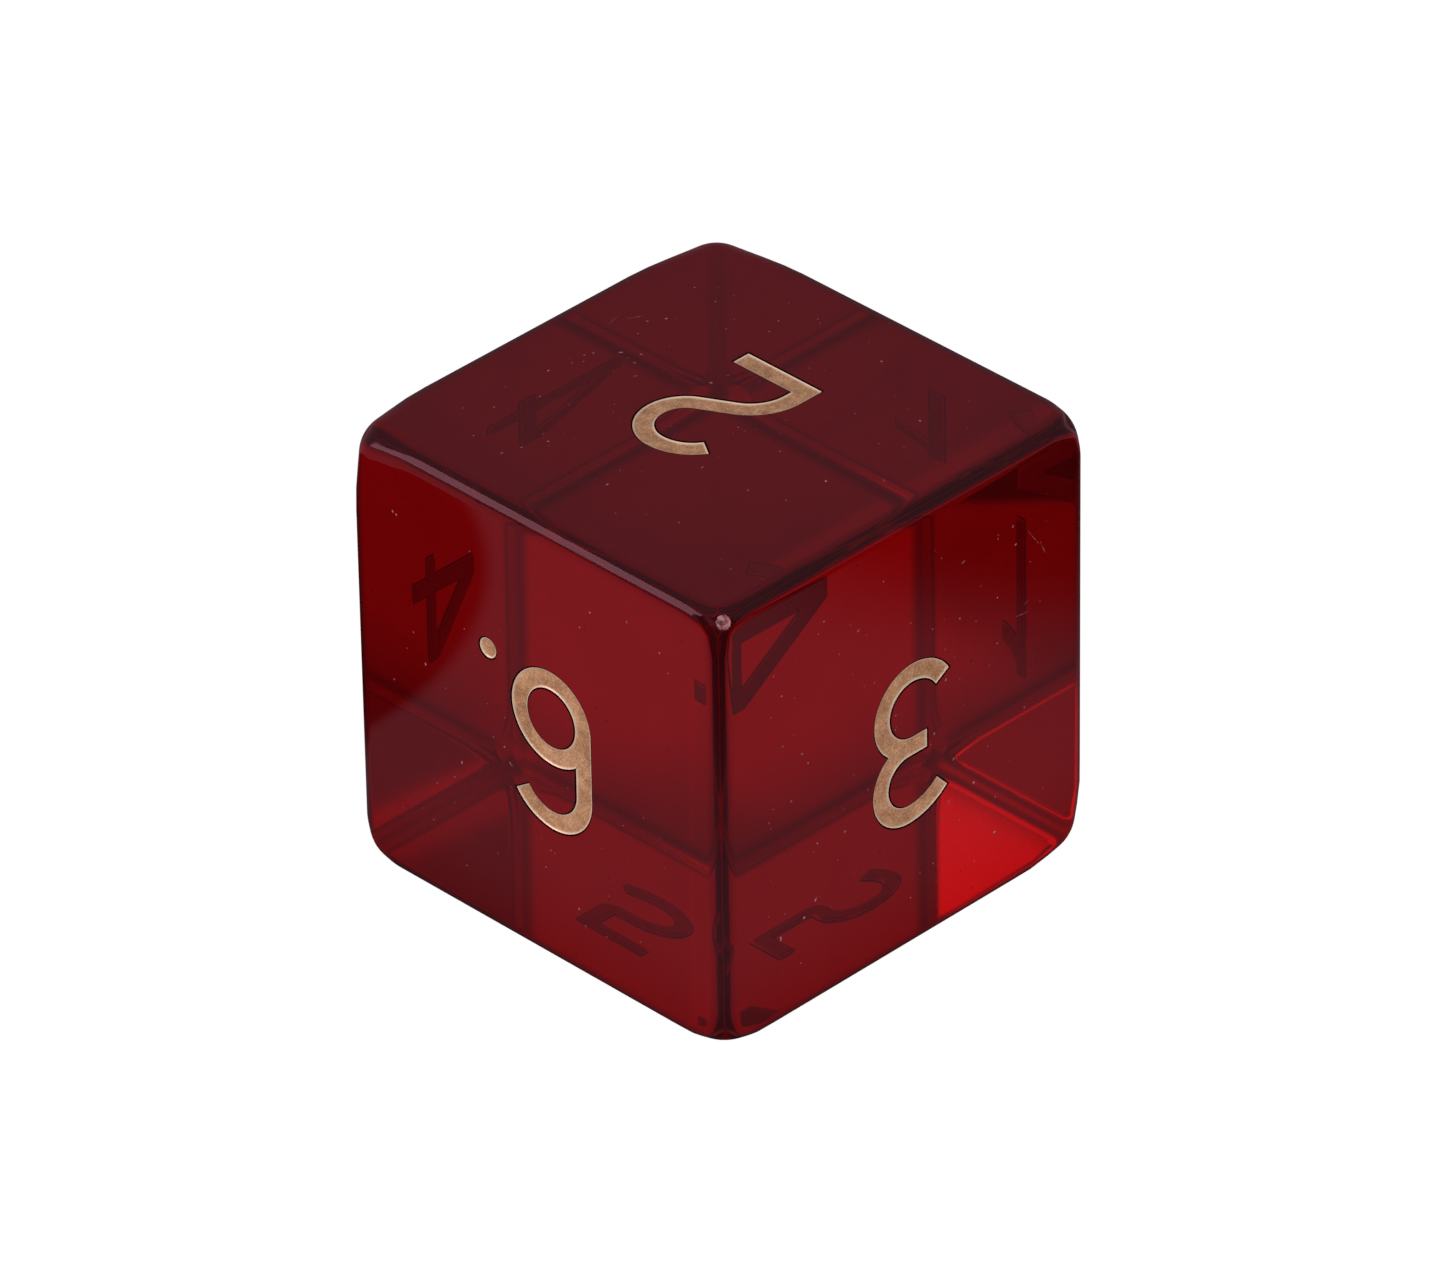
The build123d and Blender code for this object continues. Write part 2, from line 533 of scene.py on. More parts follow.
def in_chip(places):
    """Whether the middle of a face of the skin lies in a chip's frosted ring."""
    middle = np.mean(places, axis=0) - CENTRE
    for centre, radius, _ in CHIPS:
        share = np.linalg.norm(middle - np.array(centre)) / radius
        if CHIP_FROST[0] < share < CHIP_FROST[1]:
            return True
    return False


def rounded_normal(face, p):
    """The skin's normal, from how it moves with small steps along the face."""
    right, top = NORMAL_STEP * face.right, NORMAL_STEP * face.top
    across = rounded(p + right) - rounded(p - right)
    upward = rounded(p + top) - rounded(p - top)
    normal = np.cross(across, upward)
    return normal / np.linalg.norm(normal, axis=1)[:, None]


def add_rounded_frame(skin, face):
    """The part of a face around the square that holds its engraving."""
    count = len(TICKS)
    across, upward = np.meshgrid(TICKS, TICKS, indexing="ij")
    flat = np.column_stack([across.ravel(), upward.ravel(), np.full(count * count, HALF)])
    sharp = flat @ face.axes
    places = (CENTRE + rounded(sharp)).reshape(count, count, 3)
    normals = rounded_normal(face, sharp).reshape(count, count, 3)
    inner = np.abs((TICKS[1:] + TICKS[:-1]) / 2) < PATCH
    for i in range(count - 1):
        for j in range(count - 1):
            if not (inner[i] and inner[j]):
                corners = [(i, j), (i + 1, j), (i + 1, j + 1), (i, j + 1)]
                around = [places[c] for c in corners]
                skin.add(around, [normals[c] for c in corners], 1 if in_chip(around) else 0)


def add_flat(skin, face, loops, depth, marks=()):
    """Flat triangles where the number of loops round them is odd, frosted within the marks."""
    vertices, triangles, inside = triangulate(list(loops) + list(marks))
    places = face.place(vertices, depth)
    for triangle, around in zip(triangles, inside):
        outlines_round_it = sum(i < len(loops) for i in set(around))
        if outlines_round_it % 2 == 1:
            marked = any(i >= len(loops) for i in around)
            skin.add(places[triangle], [face.outward] * 3, 1 if marked else 0)


SPECKS = {1: 30, 2: 100, 3: 100, 4: 30, 5: 25, 6: 50}   # specks of dust and pinpricks on each face
SPECK_SIZE = (0.016, 0.050)
MARK_MARGIN = 0.15  # how far inside the square of the engraving the specks stay
# Hairline scratches: where each starts, which way it runs in degrees, how long it is and how much it
# bends in radians
HAIRLINES = {
    2: [
        ((6.30, -2.15), 95, 0.75, 0.10),
        ((5.95, -2.05), 250, 0.55, -0.20),
        ((6.25, -1.60), 60, 0.25, 0.10),
    ],
    3: [
        ((-5.35, -4.95), 120, 0.95, 0.25),
        ((-5.90, -4.30), 105, 0.60, 0.15),
        ((-4.80, -2.05), 165, 0.55, 0.20),
        ((-5.10, -2.30), 195, 0.35, -0.20),
    ],
}
HAIRLINE_WIDTH = 0.016
HAIRLINE_STEPS = 9
HAIRLINE_WOBBLE = 0.06  # radians at each step
HAIRLINE_TIP = 0.3      # how far its outline starts from where it would be a point, in steps


def speck(chance, centre, size):
    """A small ragged outline, which is longer one way."""
    sides = chance.randint(5, 8)
    long_way = chance.uniform(0, math.pi)
    stretch = chance.uniform(1.0, 1.9)
    cos, sin = math.cos(long_way), math.sin(long_way)
    loop = []
    for i in range(sides):
        turn = 2 * math.pi * i / sides
        reach = size * chance.uniform(0.65, 1.15)
        x, y = reach * stretch * math.cos(turn), reach * math.sin(turn)
        loop.append(centre + np.array([cos * x - sin * y, sin * x + cos * y]))
    return loop


def hairline(chance, start, angle, length, bend):
    """A scratch: a thin outline that curves and thins out towards both ends."""
    middle = [np.array(start, float)]
    turn = math.radians(angle)
    for _ in range(HAIRLINE_STEPS):
        turn += bend / HAIRLINE_STEPS + chance.uniform(-HAIRLINE_WOBBLE, HAIRLINE_WOBBLE)
        along = np.array([math.cos(turn), math.sin(turn)])
        middle.append(middle[-1] + length / HAIRLINE_STEPS * along)
    across = np.array([-math.sin(turn), math.cos(turn)])
    shares = (np.arange(len(middle)) + HAIRLINE_TIP) / (HAIRLINE_STEPS + 2 * HAIRLINE_TIP)
    half_widths = HAIRLINE_WIDTH / 2 * np.sin(math.pi * shares)
    left = [point + half * across for point, half in zip(middle, half_widths)]
    right = [point - half * across for point, half in zip(middle, half_widths)]
    return right + left[::-1]


def surface_marks(number, edges):
    """The outlines of the specks and scratches on a face, clear of the edges of its engraving."""
    chance = random.Random(number)
    marks = [hairline(chance, *line) for line in HAIRLINES.get(number, [])]
    reach = PATCH - MARK_MARGIN
    low, high = SPECK_SIZE
    for _ in range(SPECKS[number]):
        centre = np.array([chance.uniform(-reach, reach), chance.uniform(-reach, reach)])
        marks.append(speck(chance, centre, low + (high - low) * chance.random() ** 3))
    return [mark for mark in marks if distance_to(edges, np.array(mark)).min() > SPECK_SIZE[1]]


def add_wall(skin, face, loop, rows):
    """A wall between rows (how far the loop is grown, depth, how far its normal leans outward)."""
    start, end = corner_normals(loop)
    lines = [(face.place(grown(loop, out), depth), lean) for out, depth, lean in rows]
    for i in range(len(loop)):
        j = (i + 1) % len(loop)
        flat = [start[i], end[i], end[i], start[i]]
        for (upper, upper_lean), (lower, lower_lean) in zip(lines, lines[1:]):
            leans = [lower_lean, lower_lean, upper_lean, upper_lean]
            normals = [face.direction(-math.cos(lean) * along, math.sin(lean))[0]
                       for along, lean in zip(flat, leans)]
            skin.add([lower[i], lower[j], upper[j], upper[i]], normals)


RIM_ROWS = 5                    # rows of points round the rim of an engraving
RIM_TURN = math.radians(50)     # how far the skin turns down over it
RIM_SHADING = 0.9               # how much of that turn its shading shows


def rim_rows(floor):
    """The section of an engraving's wall: an eased rim, then a slope to the floor."""
    rows = []
    for turn in np.linspace(0, RIM_TURN, RIM_ROWS):
        out = RIM_SPREAD * (1 - math.sin(turn) / math.sin(RIM_TURN))
        depth = PAINT_TOP * (1 - math.cos(turn)) / (1 - math.cos(RIM_TURN))
        rows.append((out, depth, math.pi / 2 - turn * RIM_SHADING))
    slope = math.atan2(FLOOR_INSET, floor - PAINT_TOP)
    rows.append((-FLOOR_INSET, floor, slope))
    return rows


def resin_body(outlines, *materials):
    skin = Skin()
    border = [(x, -PATCH) for x in TICKS if abs(x) <= PATCH]
    side = np.array(border[:-1])
    square = np.concatenate([side @ np.array([[cos, sin], [-sin, cos]])
                             for cos, sin in ((1, 0), (0, 1), (-1, 0), (0, -1))])
    for number in FACES:
        face = Face(number)
        add_rounded_frame(skin, face)
        mine = [(node, loops) for node, n, loops in outlines if n == number]
        every = [loop for _, loops in mine for loop in loops]
        edges = [square] + [grown(loop, RIM_SPREAD) for loop in every]
        add_flat(skin, face, edges, 0, surface_marks(number, edges))
        for node, loops in mine:
            floor = face.depth_range(node)[1]
            for loop in loops:
                add_wall(skin, face, loop, rim_rows(floor))
            add_flat(skin, face, [grown(loop, -FLOOR_INSET) for loop in loops], floor)
    return skin.build("resin_body", *materials)


# ---- the paint ----

GRAIN = 0.075   # spacing of the points of the paint's dried surface
RINGS = (0.012, 0.028, 0.050, 0.080, 0.120)     # rows of points that follow the walls
RING_FIT = 0.97     # share of its distance that a row's point keeps from every wall
RIPPLES_PER_MM = 5
RIPPLE_SEED = 7.3   # times the numeral, so that no two coats are alike
SIDE_LEAN = -0.8    # the outward part of the normals of its sides, which lean inwards


def distance_to(loops, points):
    """How far points are from the nearest side of any loop."""
    nearest = np.full(len(points), np.inf)
    for loop in loops:
        for a, b in zip(loop, np.roll(loop, -1, axis=0)):
            share = np.clip((points - a) @ (b - a) / ((b - a) @ (b - a)), 0, 1)
            nearest = np.minimum(nearest, np.linalg.norm(points - a - share[:, None] * (b - a), axis=1))
    return nearest


def divided(loop, like):
    """A loop with more points along its sides, as many as the sides of a like loop need."""
    points = []
    lengths = np.linalg.norm(np.roll(like, -1, axis=0) - like, axis=1)
    for a, b, length in zip(loop, np.roll(loop, -1, axis=0), lengths):
        steps = max(1, math.ceil(length / GRAIN))
        points += [a + (b - a) * k / steps for k in range(steps)]
    return np.array(points)


def paint_points(loops):
    """Points inside an engraving: rows that follow its walls, and a grid between them."""
    found = []
    for distance in RINGS:
        for loop in loops:
            row = grown(loop, -distance)
            found.append(row[distance_to(loops, row) > RING_FIT * distance])
    every = np.concatenate(loops)
    low, high = every.min(axis=0), every.max(axis=0)
    grid = np.array([
        (x + GRAIN / 2 * (row % 2), y)
        for row, y in enumerate(np.arange(low[1], high[1], GRAIN * math.sqrt(3) / 2))
        for x in np.arange(low[0], high[0], GRAIN)
    ])
    found.append(grid[distance_to(loops, grid) > RINGS[-1] + GRAIN / 2])
    return np.concatenate(found)


def paint_depth(loops, points, seed):
    """How deep the dried paint lies: high at the walls, sagging between them, never quite even."""
    from_wall = distance_to(loops, points)
    climb = np.exp(-((from_wall / MENISCUS) ** 2))
    calm = smooth_step(from_wall / RINGS[-1])
    ripple = np.array([
        noise.fractal(Vector((x, y, seed)), 1.0, 2.0, 3) for x, y in points * RIPPLES_PER_MM
    ])
    return PAINT_TOP + PAINT_SAG * (1 - climb) + PAINT_RIPPLE * calm * ripple


def mark_rim_and_back(piece, face, loops):
    """Stores on each vertex how much it belongs to the rim of the paint, where a highlight is painted,
    and to its back.
    """
    places = np.array([v.co for v in piece.data.vertices]) / MM - CENTRE
    near = np.exp(-((distance_to(loops, places @ face.axes[:2].T) / RIM_SHINE) ** 2))
    deep = HALF - places @ face.outward > PAINT_TOP + PAINT_SAG + 4 * PAINT_RIPPLE
    for name, share in (("rim", near), ("back", deep.astype(float))):
        attribute = piece.data.attributes.new(name, "FLOAT", "POINT")
        attribute.data.foreach_set("value", share)


def add_dried_surface(skin, face, loops, outer, seed):
    """The top of the paint, shaded smooth from wall to wall."""
    vertices, triangles, inside = triangulate(outer, paint_points(loops))
    triangles = [triangle for triangle, around in zip(triangles, inside) if len(set(around)) % 2 == 1]
    depth = paint_depth(loops, vertices, seed)
    depth[distance_to(outer, vertices) < PAINT_BITE / 2] = PAINT_TOP
    places = face.place(vertices, depth)
    normals = np.zeros_like(places)
    for triangle in triangles:
        first, second, third = places[triangle]
        normals[triangle] += np.cross(second - first, third - first)
    normals /= np.maximum(np.linalg.norm(normals, axis=1), TINY)[:, None]
    for triangle in triangles:
        skin.add(places[triangle], normals[triangle])


def add_side(skin, face, outer, inner, depth):
    """A side of the paint, which follows the wall of its engraving down to its floor."""
    start, end = corner_normals(outer)
    upper, lower = face.place(outer, PAINT_TOP), face.place(inner, depth)
    for i in range(len(outer)):
        j = (i + 1) % len(outer)
        at_start = face.direction(start[i], SIDE_LEAN)[0]
        at_end = face.direction(end[i], SIDE_LEAN)[0]
        skin.add([lower[i], lower[j], upper[j], upper[i]], [at_start, at_end, at_end, at_start])


def add_back(skin, face, loops, depth):
    """The flat back of the paint, on the floor of its engraving."""
    vertices, triangles, inside = triangulate(loops)
    places = face.place(vertices, depth)
    for triangle, around in zip(triangles, inside):
        if len(set(around)) % 2 == 1:
            skin.add(places[triangle[::-1]], [-face.outward] * 3)


def paint_piece(name, node, number, loops, material):
    """The paint in one engraving. Its sides and its back lie a little inside the resin."""
    face = Face(number)
    skin = Skin()
    fine = [divided(loop, loop) for loop in loops]
    outer = [divided(grown(loop, PAINT_BITE), loop) for loop in loops]
    inner = [divided(grown(loop, PAINT_BITE - FLOOR_INSET), loop) for loop in loops]
    depth = face.depth_range(node)[1] + PAINT_BITE
    add_dried_surface(skin, face, fine, outer, number * RIPPLE_SEED)
    for outer_loop, inner_loop in zip(outer, inner):
        add_side(skin, face, outer_loop, inner_loop, depth)
    add_back(skin, face, inner, depth)
    piece = skin.build(name, material)
    mark_rim_and_back(piece, face, loops)
    return piece


# ---- materials ----

class Shader:
    """A material's nodes. What feeds an input is a number, a colour or another node's output."""

    def __init__(self, name):
        self.material = bpy.data.materials.new(name)
        self.material.use_nodes = True
        self.nodes = self.material.node_tree.nodes
        self.links = self.material.node_tree.links
        self.nodes.clear()
        self.output = self.nodes.new("ShaderNodeOutputMaterial")

    def feed(self, node, values):
        for name, value in values.items():
            if isinstance(value, bpy.types.NodeSocket):
                self.links.new(value, node.inputs[name])
            else:
                node.inputs[name].default_value = value

    def millimetres(self):
        """Coordinates on the object that count millimetres."""
        where = self.nodes.new("ShaderNodeTexCoord")
        scale = self.nodes.new("ShaderNodeMapping")
        self.feed(scale, {"Vector": where.outputs["Object"], "Scale": (1 / MM, 1 / MM, 1 / MM)})
        return scale.outputs["Vector"]

    def axes(self, vector):
        split = self.nodes.new("ShaderNodeSeparateXYZ")
        self.feed(split, {"Vector": vector})
        return [split.outputs[axis] for axis in "XYZ"]

    def maths(self, operation, *values):
        node = self.nodes.new("ShaderNodeMath")
        node.operation = operation
        self.feed(node, dict(enumerate(values)))
        return node.outputs["Value"]

    def add(self, first, second):
        return self.maths("ADD", first, second)

    def subtract(self, first, second):
        return self.maths("SUBTRACT", first, second)

    def multiply(self, first, second):
        return self.maths("MULTIPLY", first, second)

    def noise(self, vector, per_mm, detail=3.0, roughness=0.55):
        texture = self.nodes.new("ShaderNodeTexNoise")
        self.feed(texture, {"Vector": vector, "Scale": per_mm, "Detail": detail, "Roughness": roughness})
        return texture.outputs["Fac"]

    def ramp(self, factor, stops):
        """A colour ramp with (place, colour) stops."""
        node = self.nodes.new("ShaderNodeValToRGB")
        self.feed(node, {"Fac": factor})
        elements = node.color_ramp.elements
        while len(elements) < len(stops):
            elements.new(0.5)
        for element, (place, colour) in zip(elements, stops):
            element.position = place
            element.color = (*colour, 1)
        return node.outputs["Color"]

    def stretched(self, value, low, high):
        """A value that runs from 0 to 1, stretched to run from low to high."""
        node = self.nodes.new("ShaderNodeMapRange")
        self.feed(node, {"Value": value, "To Min": low, "To Max": high})
        return node.outputs["Result"]

    def smooth(self, value, start, end, low=0.0, high=1.0):
        """A smooth step from low to high as the value goes from start to end."""
        node = self.nodes.new("ShaderNodeMapRange")
        node.interpolation_type = "SMOOTHSTEP"
        self.feed(node, {"Value": value, "From Min": start, "From Max": end,
                         "To Min": low, "To Max": high})
        return node.outputs["Result"]

    def mixed(self, share, first, second):
        """Two colours mixed: all first where the share is 0, all second where it is 1."""
        node = self.nodes.new("ShaderNodeMix")
        node.data_type = "RGBA"
        self.feed(node, {"Factor": share, "A": first, "B": second})
        return node.outputs["Result"]

    def surface(self, values):
        """The material, with a surface that has these values."""
        skin = self.nodes.new("ShaderNodeBsdfPrincipled")
        self.feed(skin, values)
        self.feed(self.output, {"Surface": skin.outputs["BSDF"]})
        return self.material

    def glow(self, colour, strength):
        """The material, as an even light."""
        light = self.nodes.new("ShaderNodeEmission")
        self.feed(light, {"Color": (*colour, 1), "Strength": strength})
        self.feed(self.output, {"Surface": light.outputs["Emission"]})
        return self.material


# The resin
CLEAR = 0.972                   # share of the light that the skin lets through; haze takes the rest
HAZE_TINTS = [(0.35, (0.93, 0.02, 0.04)), (0.65, (0.99, 0.03, 0.05))]
DYE = (0.995, 0.10, 0.16, 1.0)  # what the dye leaves of white light
DYE_DENSITY = 2000.0            # per metre
POLISH = (0.015, 0.05)          # roughness where it is polished best, and where it is handled most

# Its edges, with painted shade
EDGE_SHADE = (HALF - 0.72, HALF - 0.24)     # where the painted shade of the edges starts, and where it is full
UPPER_FRONT_EDGE_SHADE = (0.60, 0.05, 0.08, 1.0)         # painted shade on the upper front edges: a darker haze
BACK_EDGE_SHADE = (0.10, 0.03, 0.04, 1.0)        # painted shade on the back and bottom edges, darker still
BACK_EDGE_ROUGHNESS = 0.35                      # which are duller too
BACK_SHADE_SIDE = (10, 6)                        # x - y + z where the darker painted shade starts and is full, from the middle

# Its chips, scratches and dust
FROST_TINTS = [(0.40, (0.07, 0.02, 0.025)), (0.62, (0.32, 0.14, 0.15))]

# The paint
GOLD_TINTS = [
    (0.38, (0.34, 0.175, 0.08)),
    (0.50, (0.60, 0.34, 0.175)),
    (0.62, (0.88, 0.56, 0.31)),
]
SMUDGE_SHARE = 0.35                     # how much of the mottle is smudges; the rest is flake
FLAKE_BUMP = 0.004                      # height of the flake
RIM_HIGHLIGHT_COLOUR = (1.0, 0.82, 0.60, 1.0)     # painted highlight of the paint where it rises to its rim
BACK_COLOUR = (0.50, 0.38, 0.27, 1.0)   # and of its back, seen through the resin


def near_edge(shader, place):
    """How near a point of the skin is to an edge, for the painted shade there: the middle one of its
    three distances tells.
    """
    away = [shader.maths("ABSOLUTE", shader.subtract(at, float(middle)))
            for at, middle in zip(shader.axes(place), CENTRE)]
    most = shader.maths("MAXIMUM", shader.maths("MAXIMUM", away[0], away[1]), away[2])
    least = shader.maths("MINIMUM", shader.maths("MINIMUM", away[0], away[1]), away[2])
    total = shader.add(shader.add(away[0], away[1]), away[2])
    between = shader.subtract(shader.subtract(total, most), least)
    return shader.smooth(between, *EDGE_SHADE)


def back_shade_mask(shader, place):
    """One where an edge would be a back or a bottom one, and nothing at the upper front: the mask of the
    darker painted shade.
    """
    x, y, z = shader.axes(place)
    height = shader.subtract(z, HALF)
    return shader.smooth(shader.add(shader.subtract(x, y), height), *BACK_SHADE_SIDE)


def resin_material():
    """Clear cast resin, dyed deep red all through, with the faint haze of a handled surface and painted
    shade along its edges.
    """
    shader = Shader("red_resin")
    place = shader.millimetres()
    haze = shader.ramp(shader.noise(place, per_mm=0.35), HAZE_TINTS)
    edge = near_edge(shader, place)
    back_shade = back_shade_mask(shader, place)
    # painted shade: the haze near the edges is darker, darkest on the back and bottom ones
    edge_shade_colour = shader.mixed(back_shade, UPPER_FRONT_EDGE_SHADE, BACK_EDGE_SHADE)
    handled = shader.stretched(shader.noise(place, per_mm=1.6, detail=6.0), *POLISH)
    back_dullness = shader.multiply(shader.multiply(edge, back_shade), BACK_EDGE_ROUGHNESS)
    dye = shader.nodes.new("ShaderNodeVolumeAbsorption")
    shader.feed(dye, {"Color": DYE, "Density": DYE_DENSITY})
    shader.feed(shader.output, {"Volume": dye.outputs["Volume"]})
    return shader.surface({
        "IOR": 1.55,
        "Transmission Weight": CLEAR,
        "Base Color": shader.mixed(edge, haze, edge_shade_colour),
        "Roughness": shader.add(handled, back_dullness),
    })


def abraded_material():
    """Resin that is chipped or scratched to a pale frost, and the dust that sticks to it."""
    shader = Shader("abraded_resin")
    patchy = shader.noise(shader.millimetres(), per_mm=9.0, detail=2.0)
    return shader.surface({
        "Base Color": shader.ramp(patchy, FROST_TINTS),
        "Roughness": shader.stretched(patchy, 0.45, 0.75),
    })


def paint_material():
    """Old-gold metallic paint: fine flake in a satin coat, with darker smudges and a painted highlight
    along its rim.
    """
    shader = Shader("gold_paint")
    place = shader.millimetres()
    smudge = shader.noise(place, per_mm=2.2)
    flake = shader.noise(place, per_mm=14.0, detail=5.0, roughness=0.75)
    mottle = shader.add(shader.multiply(smudge, SMUDGE_SHARE), shader.multiply(flake, 1 - SMUDGE_SHARE))
    colour = shader.ramp(mottle, GOLD_TINTS)
    # a painted highlight along the rim, and the back's own colour
    for name, its_colour in (("rim", RIM_HIGHLIGHT_COLOUR), ("back", BACK_COLOUR)):
        share = shader.nodes.new("ShaderNodeAttribute")
        share.attribute_name = name
        colour = shader.mixed(share.outputs["Fac"], colour, its_colour)
    bump = shader.nodes.new("ShaderNodeBump")
    shader.feed(bump, {"Strength": 0.35, "Distance": FLAKE_BUMP * MM, "Height": flake})
    return shader.surface({
        "Metallic": 0.55,
        "Base Color": colour,
        "Roughness": shader.stretched(flake, 0.22, 0.48),
        "Normal": bump.outputs["Normal"],
    })


# ---- the stage ----
#
# The camera sees a plain white floor and backdrop. The resin reflects and refracts a dim room
# instead, because a white room would wash its colour out. Its skin shows less of that room than it
# lets through, so some of the room is made twice.

# The kinds of rays that meet a piece of the stage
CAMERA = {"camera"}
REFLECTED = {"glossy"}
REFRACTED = {"transmission"}
DIFFUSE = {"diffuse"}

QUAD = [(0, 1, 2, 3)]   # the one face of a flat piece
FLOOR_GAP = 0.03        # between the die and the floor, so that the two don't share a plane
FLOOR_LEVEL = CAD_LOW[2] - FLOOR_GAP
STAGE_REACH = 600.0     # half the width of the floor and of the backdrop round it
BACKDROP_SIDES = 64
WHITE = (1.0, 1.0, 1.0)
ROOM = (0.172, 0.115, 0.145)    # brightness of the room

# The table as the resin sees it. It is lit round the die and dark under it.
TABLE = (0.215, 0.115, 0.145)       # brightness of the table round the die
LIT_FROM = HALF - 3                 # how far from the middle the light starts
LIT_FULLY = HALF + 4.4              # and where it is full
UNDER_BACK = 0.36                   # share of that which is left under the die's far side
UNDER_FRONT = 0.16                  # and under its near side
FRONT = (24, 44)                    # x - y where it starts to dim in front, and where it stops
BEHIND = ((-7, -3), (7, 9))         # where it dims behind the die: along x, and along y
AT_LEFT = ((-6, -9), (3.5, 0.5))    # and on its left
# Round dark patches on it: where, how wide, and how soft their edges are
DARK_ROUNDS = [((-25.5, -13.0), 12.6, 0.4), ((30.5, 34.5), 22.5, 4)]

# Directions from the die to the parts of the room that the resin shows
TO_THE_LEFT = np.array([-0.57, -0.59, 0.57])
TO_THE_LOW_LEFT = np.array([-0.588, -0.70, 0.40])
TO_THE_BACK = np.array([0.60, 0.56, 0.57])


def stage_object(name, vertices, faces, material, met_by):
    mesh = bpy.data.meshes.new(name)
    mesh.from_pydata((np.array(vertices, float) * MM).tolist(), [], faces)
    mesh.materials.append(material)
    material.cycles.emission_sampling = "NONE"
    thing = bpy.data.objects.new(name, mesh)
    bpy.context.scene.collection.objects.link(thing)
    thing.visible_shadow = False
    thing.visible_camera = "camera" in met_by
    thing.visible_diffuse = "diffuse" in met_by
    thing.visible_glossy = "glossy" in met_by
    thing.visible_transmission = "transmission" in met_by


def glow_material(name, colour, strength=1.0):
    return Shader(name).glow(colour, strength)


def sheet(centre, right, up):
    """The corners of a flat rectangle from its middle and its two half sides."""
    centre, right, up = np.array(centre, float), np.array(right, float), np.array(up, float)
    return [centre - right - up, centre + right - up, centre + right + up, centre - right + up]


GROUND = sheet((0, 0, FLOOR_LEVEL), (STAGE_REACH, 0, 0), (0, STAGE_REACH, 0))


def level_arc(radius, turns, height):
    """Points round the die at one height."""
    return [(radius * math.cos(a), radius * math.sin(a), height) for a in turns]


def white_surroundings():
    """The floor and the backdrop that the camera sees."""
    stage_object("floor", GROUND, QUAD, glow_material("white_floor", WHITE), CAMERA)
    count = BACKDROP_SIDES
    turns = np.linspace(0, 2 * math.pi, count, endpoint=False)
    foot = level_arc(STAGE_REACH, turns, FLOOR_LEVEL)
    head = level_arc(STAGE_REACH, turns, STAGE_REACH)
    wall = [(i, (i + 1) % count, count + (i + 1) % count, count + i) for i in range(count)]
    ceiling = [tuple(range(count, 2 * count))]
    white = glow_material("white_backdrop", WHITE)
    stage_object("backdrop", foot + head, wall + ceiling, white, CAMERA)


def dim_table(name, met_by, front_light, back_light, left_light):
    """The table as the resin sees it, with the share of its light that is left in three places."""
    shader = Shader(name)
    x, y, _ = shader.axes(shader.millimetres())
    furthest = shader.maths("MAXIMUM", shader.maths("ABSOLUTE", x), shader.maths("ABSOLUTE", y))
    outside = shader.smooth(furthest, LIT_FROM, LIT_FULLY)
    under = shader.smooth(shader.subtract(y, x), -2 * HALF, 2 * HALF, UNDER_FRONT, UNDER_BACK)
    front = shader.smooth(shader.subtract(x, y), *FRONT, 1.0, front_light)
    light = shader.multiply(shader.maths("MAXIMUM", outside, under), front)
    for (x_range, y_range), left_over in ((BEHIND, back_light), (AT_LEFT, left_light)):
        inside = shader.multiply(shader.smooth(x, *x_range), shader.smooth(y, *y_range))
        taken = shader.multiply(inside, 1.0 - left_over)
        light = shader.multiply(light, shader.subtract(1.0, taken))
    for centre, radius, softness in DARK_ROUNDS:
        away = [shader.subtract(at, middle) for at, middle in zip((x, y), centre)]
        squares = [shader.multiply(distance, distance) for distance in away]
        distance = shader.maths("SQRT", shader.add(*squares))
        light = shader.multiply(light, shader.smooth(distance, radius - softness, radius + softness))
    stage_object(name, GROUND, QUAD, shader.glow(TABLE, light), met_by | DIFFUSE)


def card(name, met_by, towards, distance, half_size, colour, offset=(0, 0), turn=0):
    """A flat card that faces the die from a direction and shows only in the resin and the paint."""
    towards = towards / np.linalg.norm(towards)
    right = np.cross(towards, (0, 0, 1))
    right /= np.linalg.norm(right)
    up = np.cross(right, towards)
    middle = CENTRE + distance * towards + offset[0] * right + offset[1] * up
    cos, sin = math.cos(math.radians(turn)), math.sin(math.radians(turn))
    right, up = cos * right + sin * up, cos * up - sin * right
    corners = sheet(middle, half_size[0] * right, half_size[1] * up)
    stage_object(name, corners, QUAD, glow_material(name, colour), met_by)


def left_flag():
    """A dim card close to the die, which cuts the soft light off from its lower left side."""
    distance = 60           # to the left
    crossing = (4.0, 3.8)   # where its edge crosses the die's left side: y, and height
    slope = -0.95           # of that edge, from front to back
    half_length = 14
    width = 16
    brightness = 0.15
    along = np.array([0, 1, slope])
    along /= np.linalg.norm(along)
    inward = np.array([0, along[2], -along[1]])
    away = TO_THE_LEFT * distance / abs(TO_THE_LEFT[0])
    edge = CENTRE + np.array([-HALF, crossing[0], crossing[1] - HALF]) + away
    corners = sheet(edge + width / 2 * inward, half_length * along, width / 2 * inward)
    stage_object("left_flag", corners, QUAD, glow_material("left_flag", WHITE, brightness), REFRACTED)


def dark_side(name, met_by, strength):
    """The dark of the room behind the camera: a wall that bends round that side of the die."""
    radius = 520
    height = 420
    steps = 24
    middle, half_sweep = -45, 72    # degrees
    turns = np.radians(np.linspace(middle - half_sweep, middle + half_sweep, steps + 1))
    corners = level_arc(radius, turns, CAD_LOW[2]) + level_arc(radius, turns, height)
    faces = [(i, i + 1, steps + 2 + i, steps + 1 + i) for i in range(steps)]
    stage_object(name, corners, faces, glow_material(name, WHITE, strength), met_by)


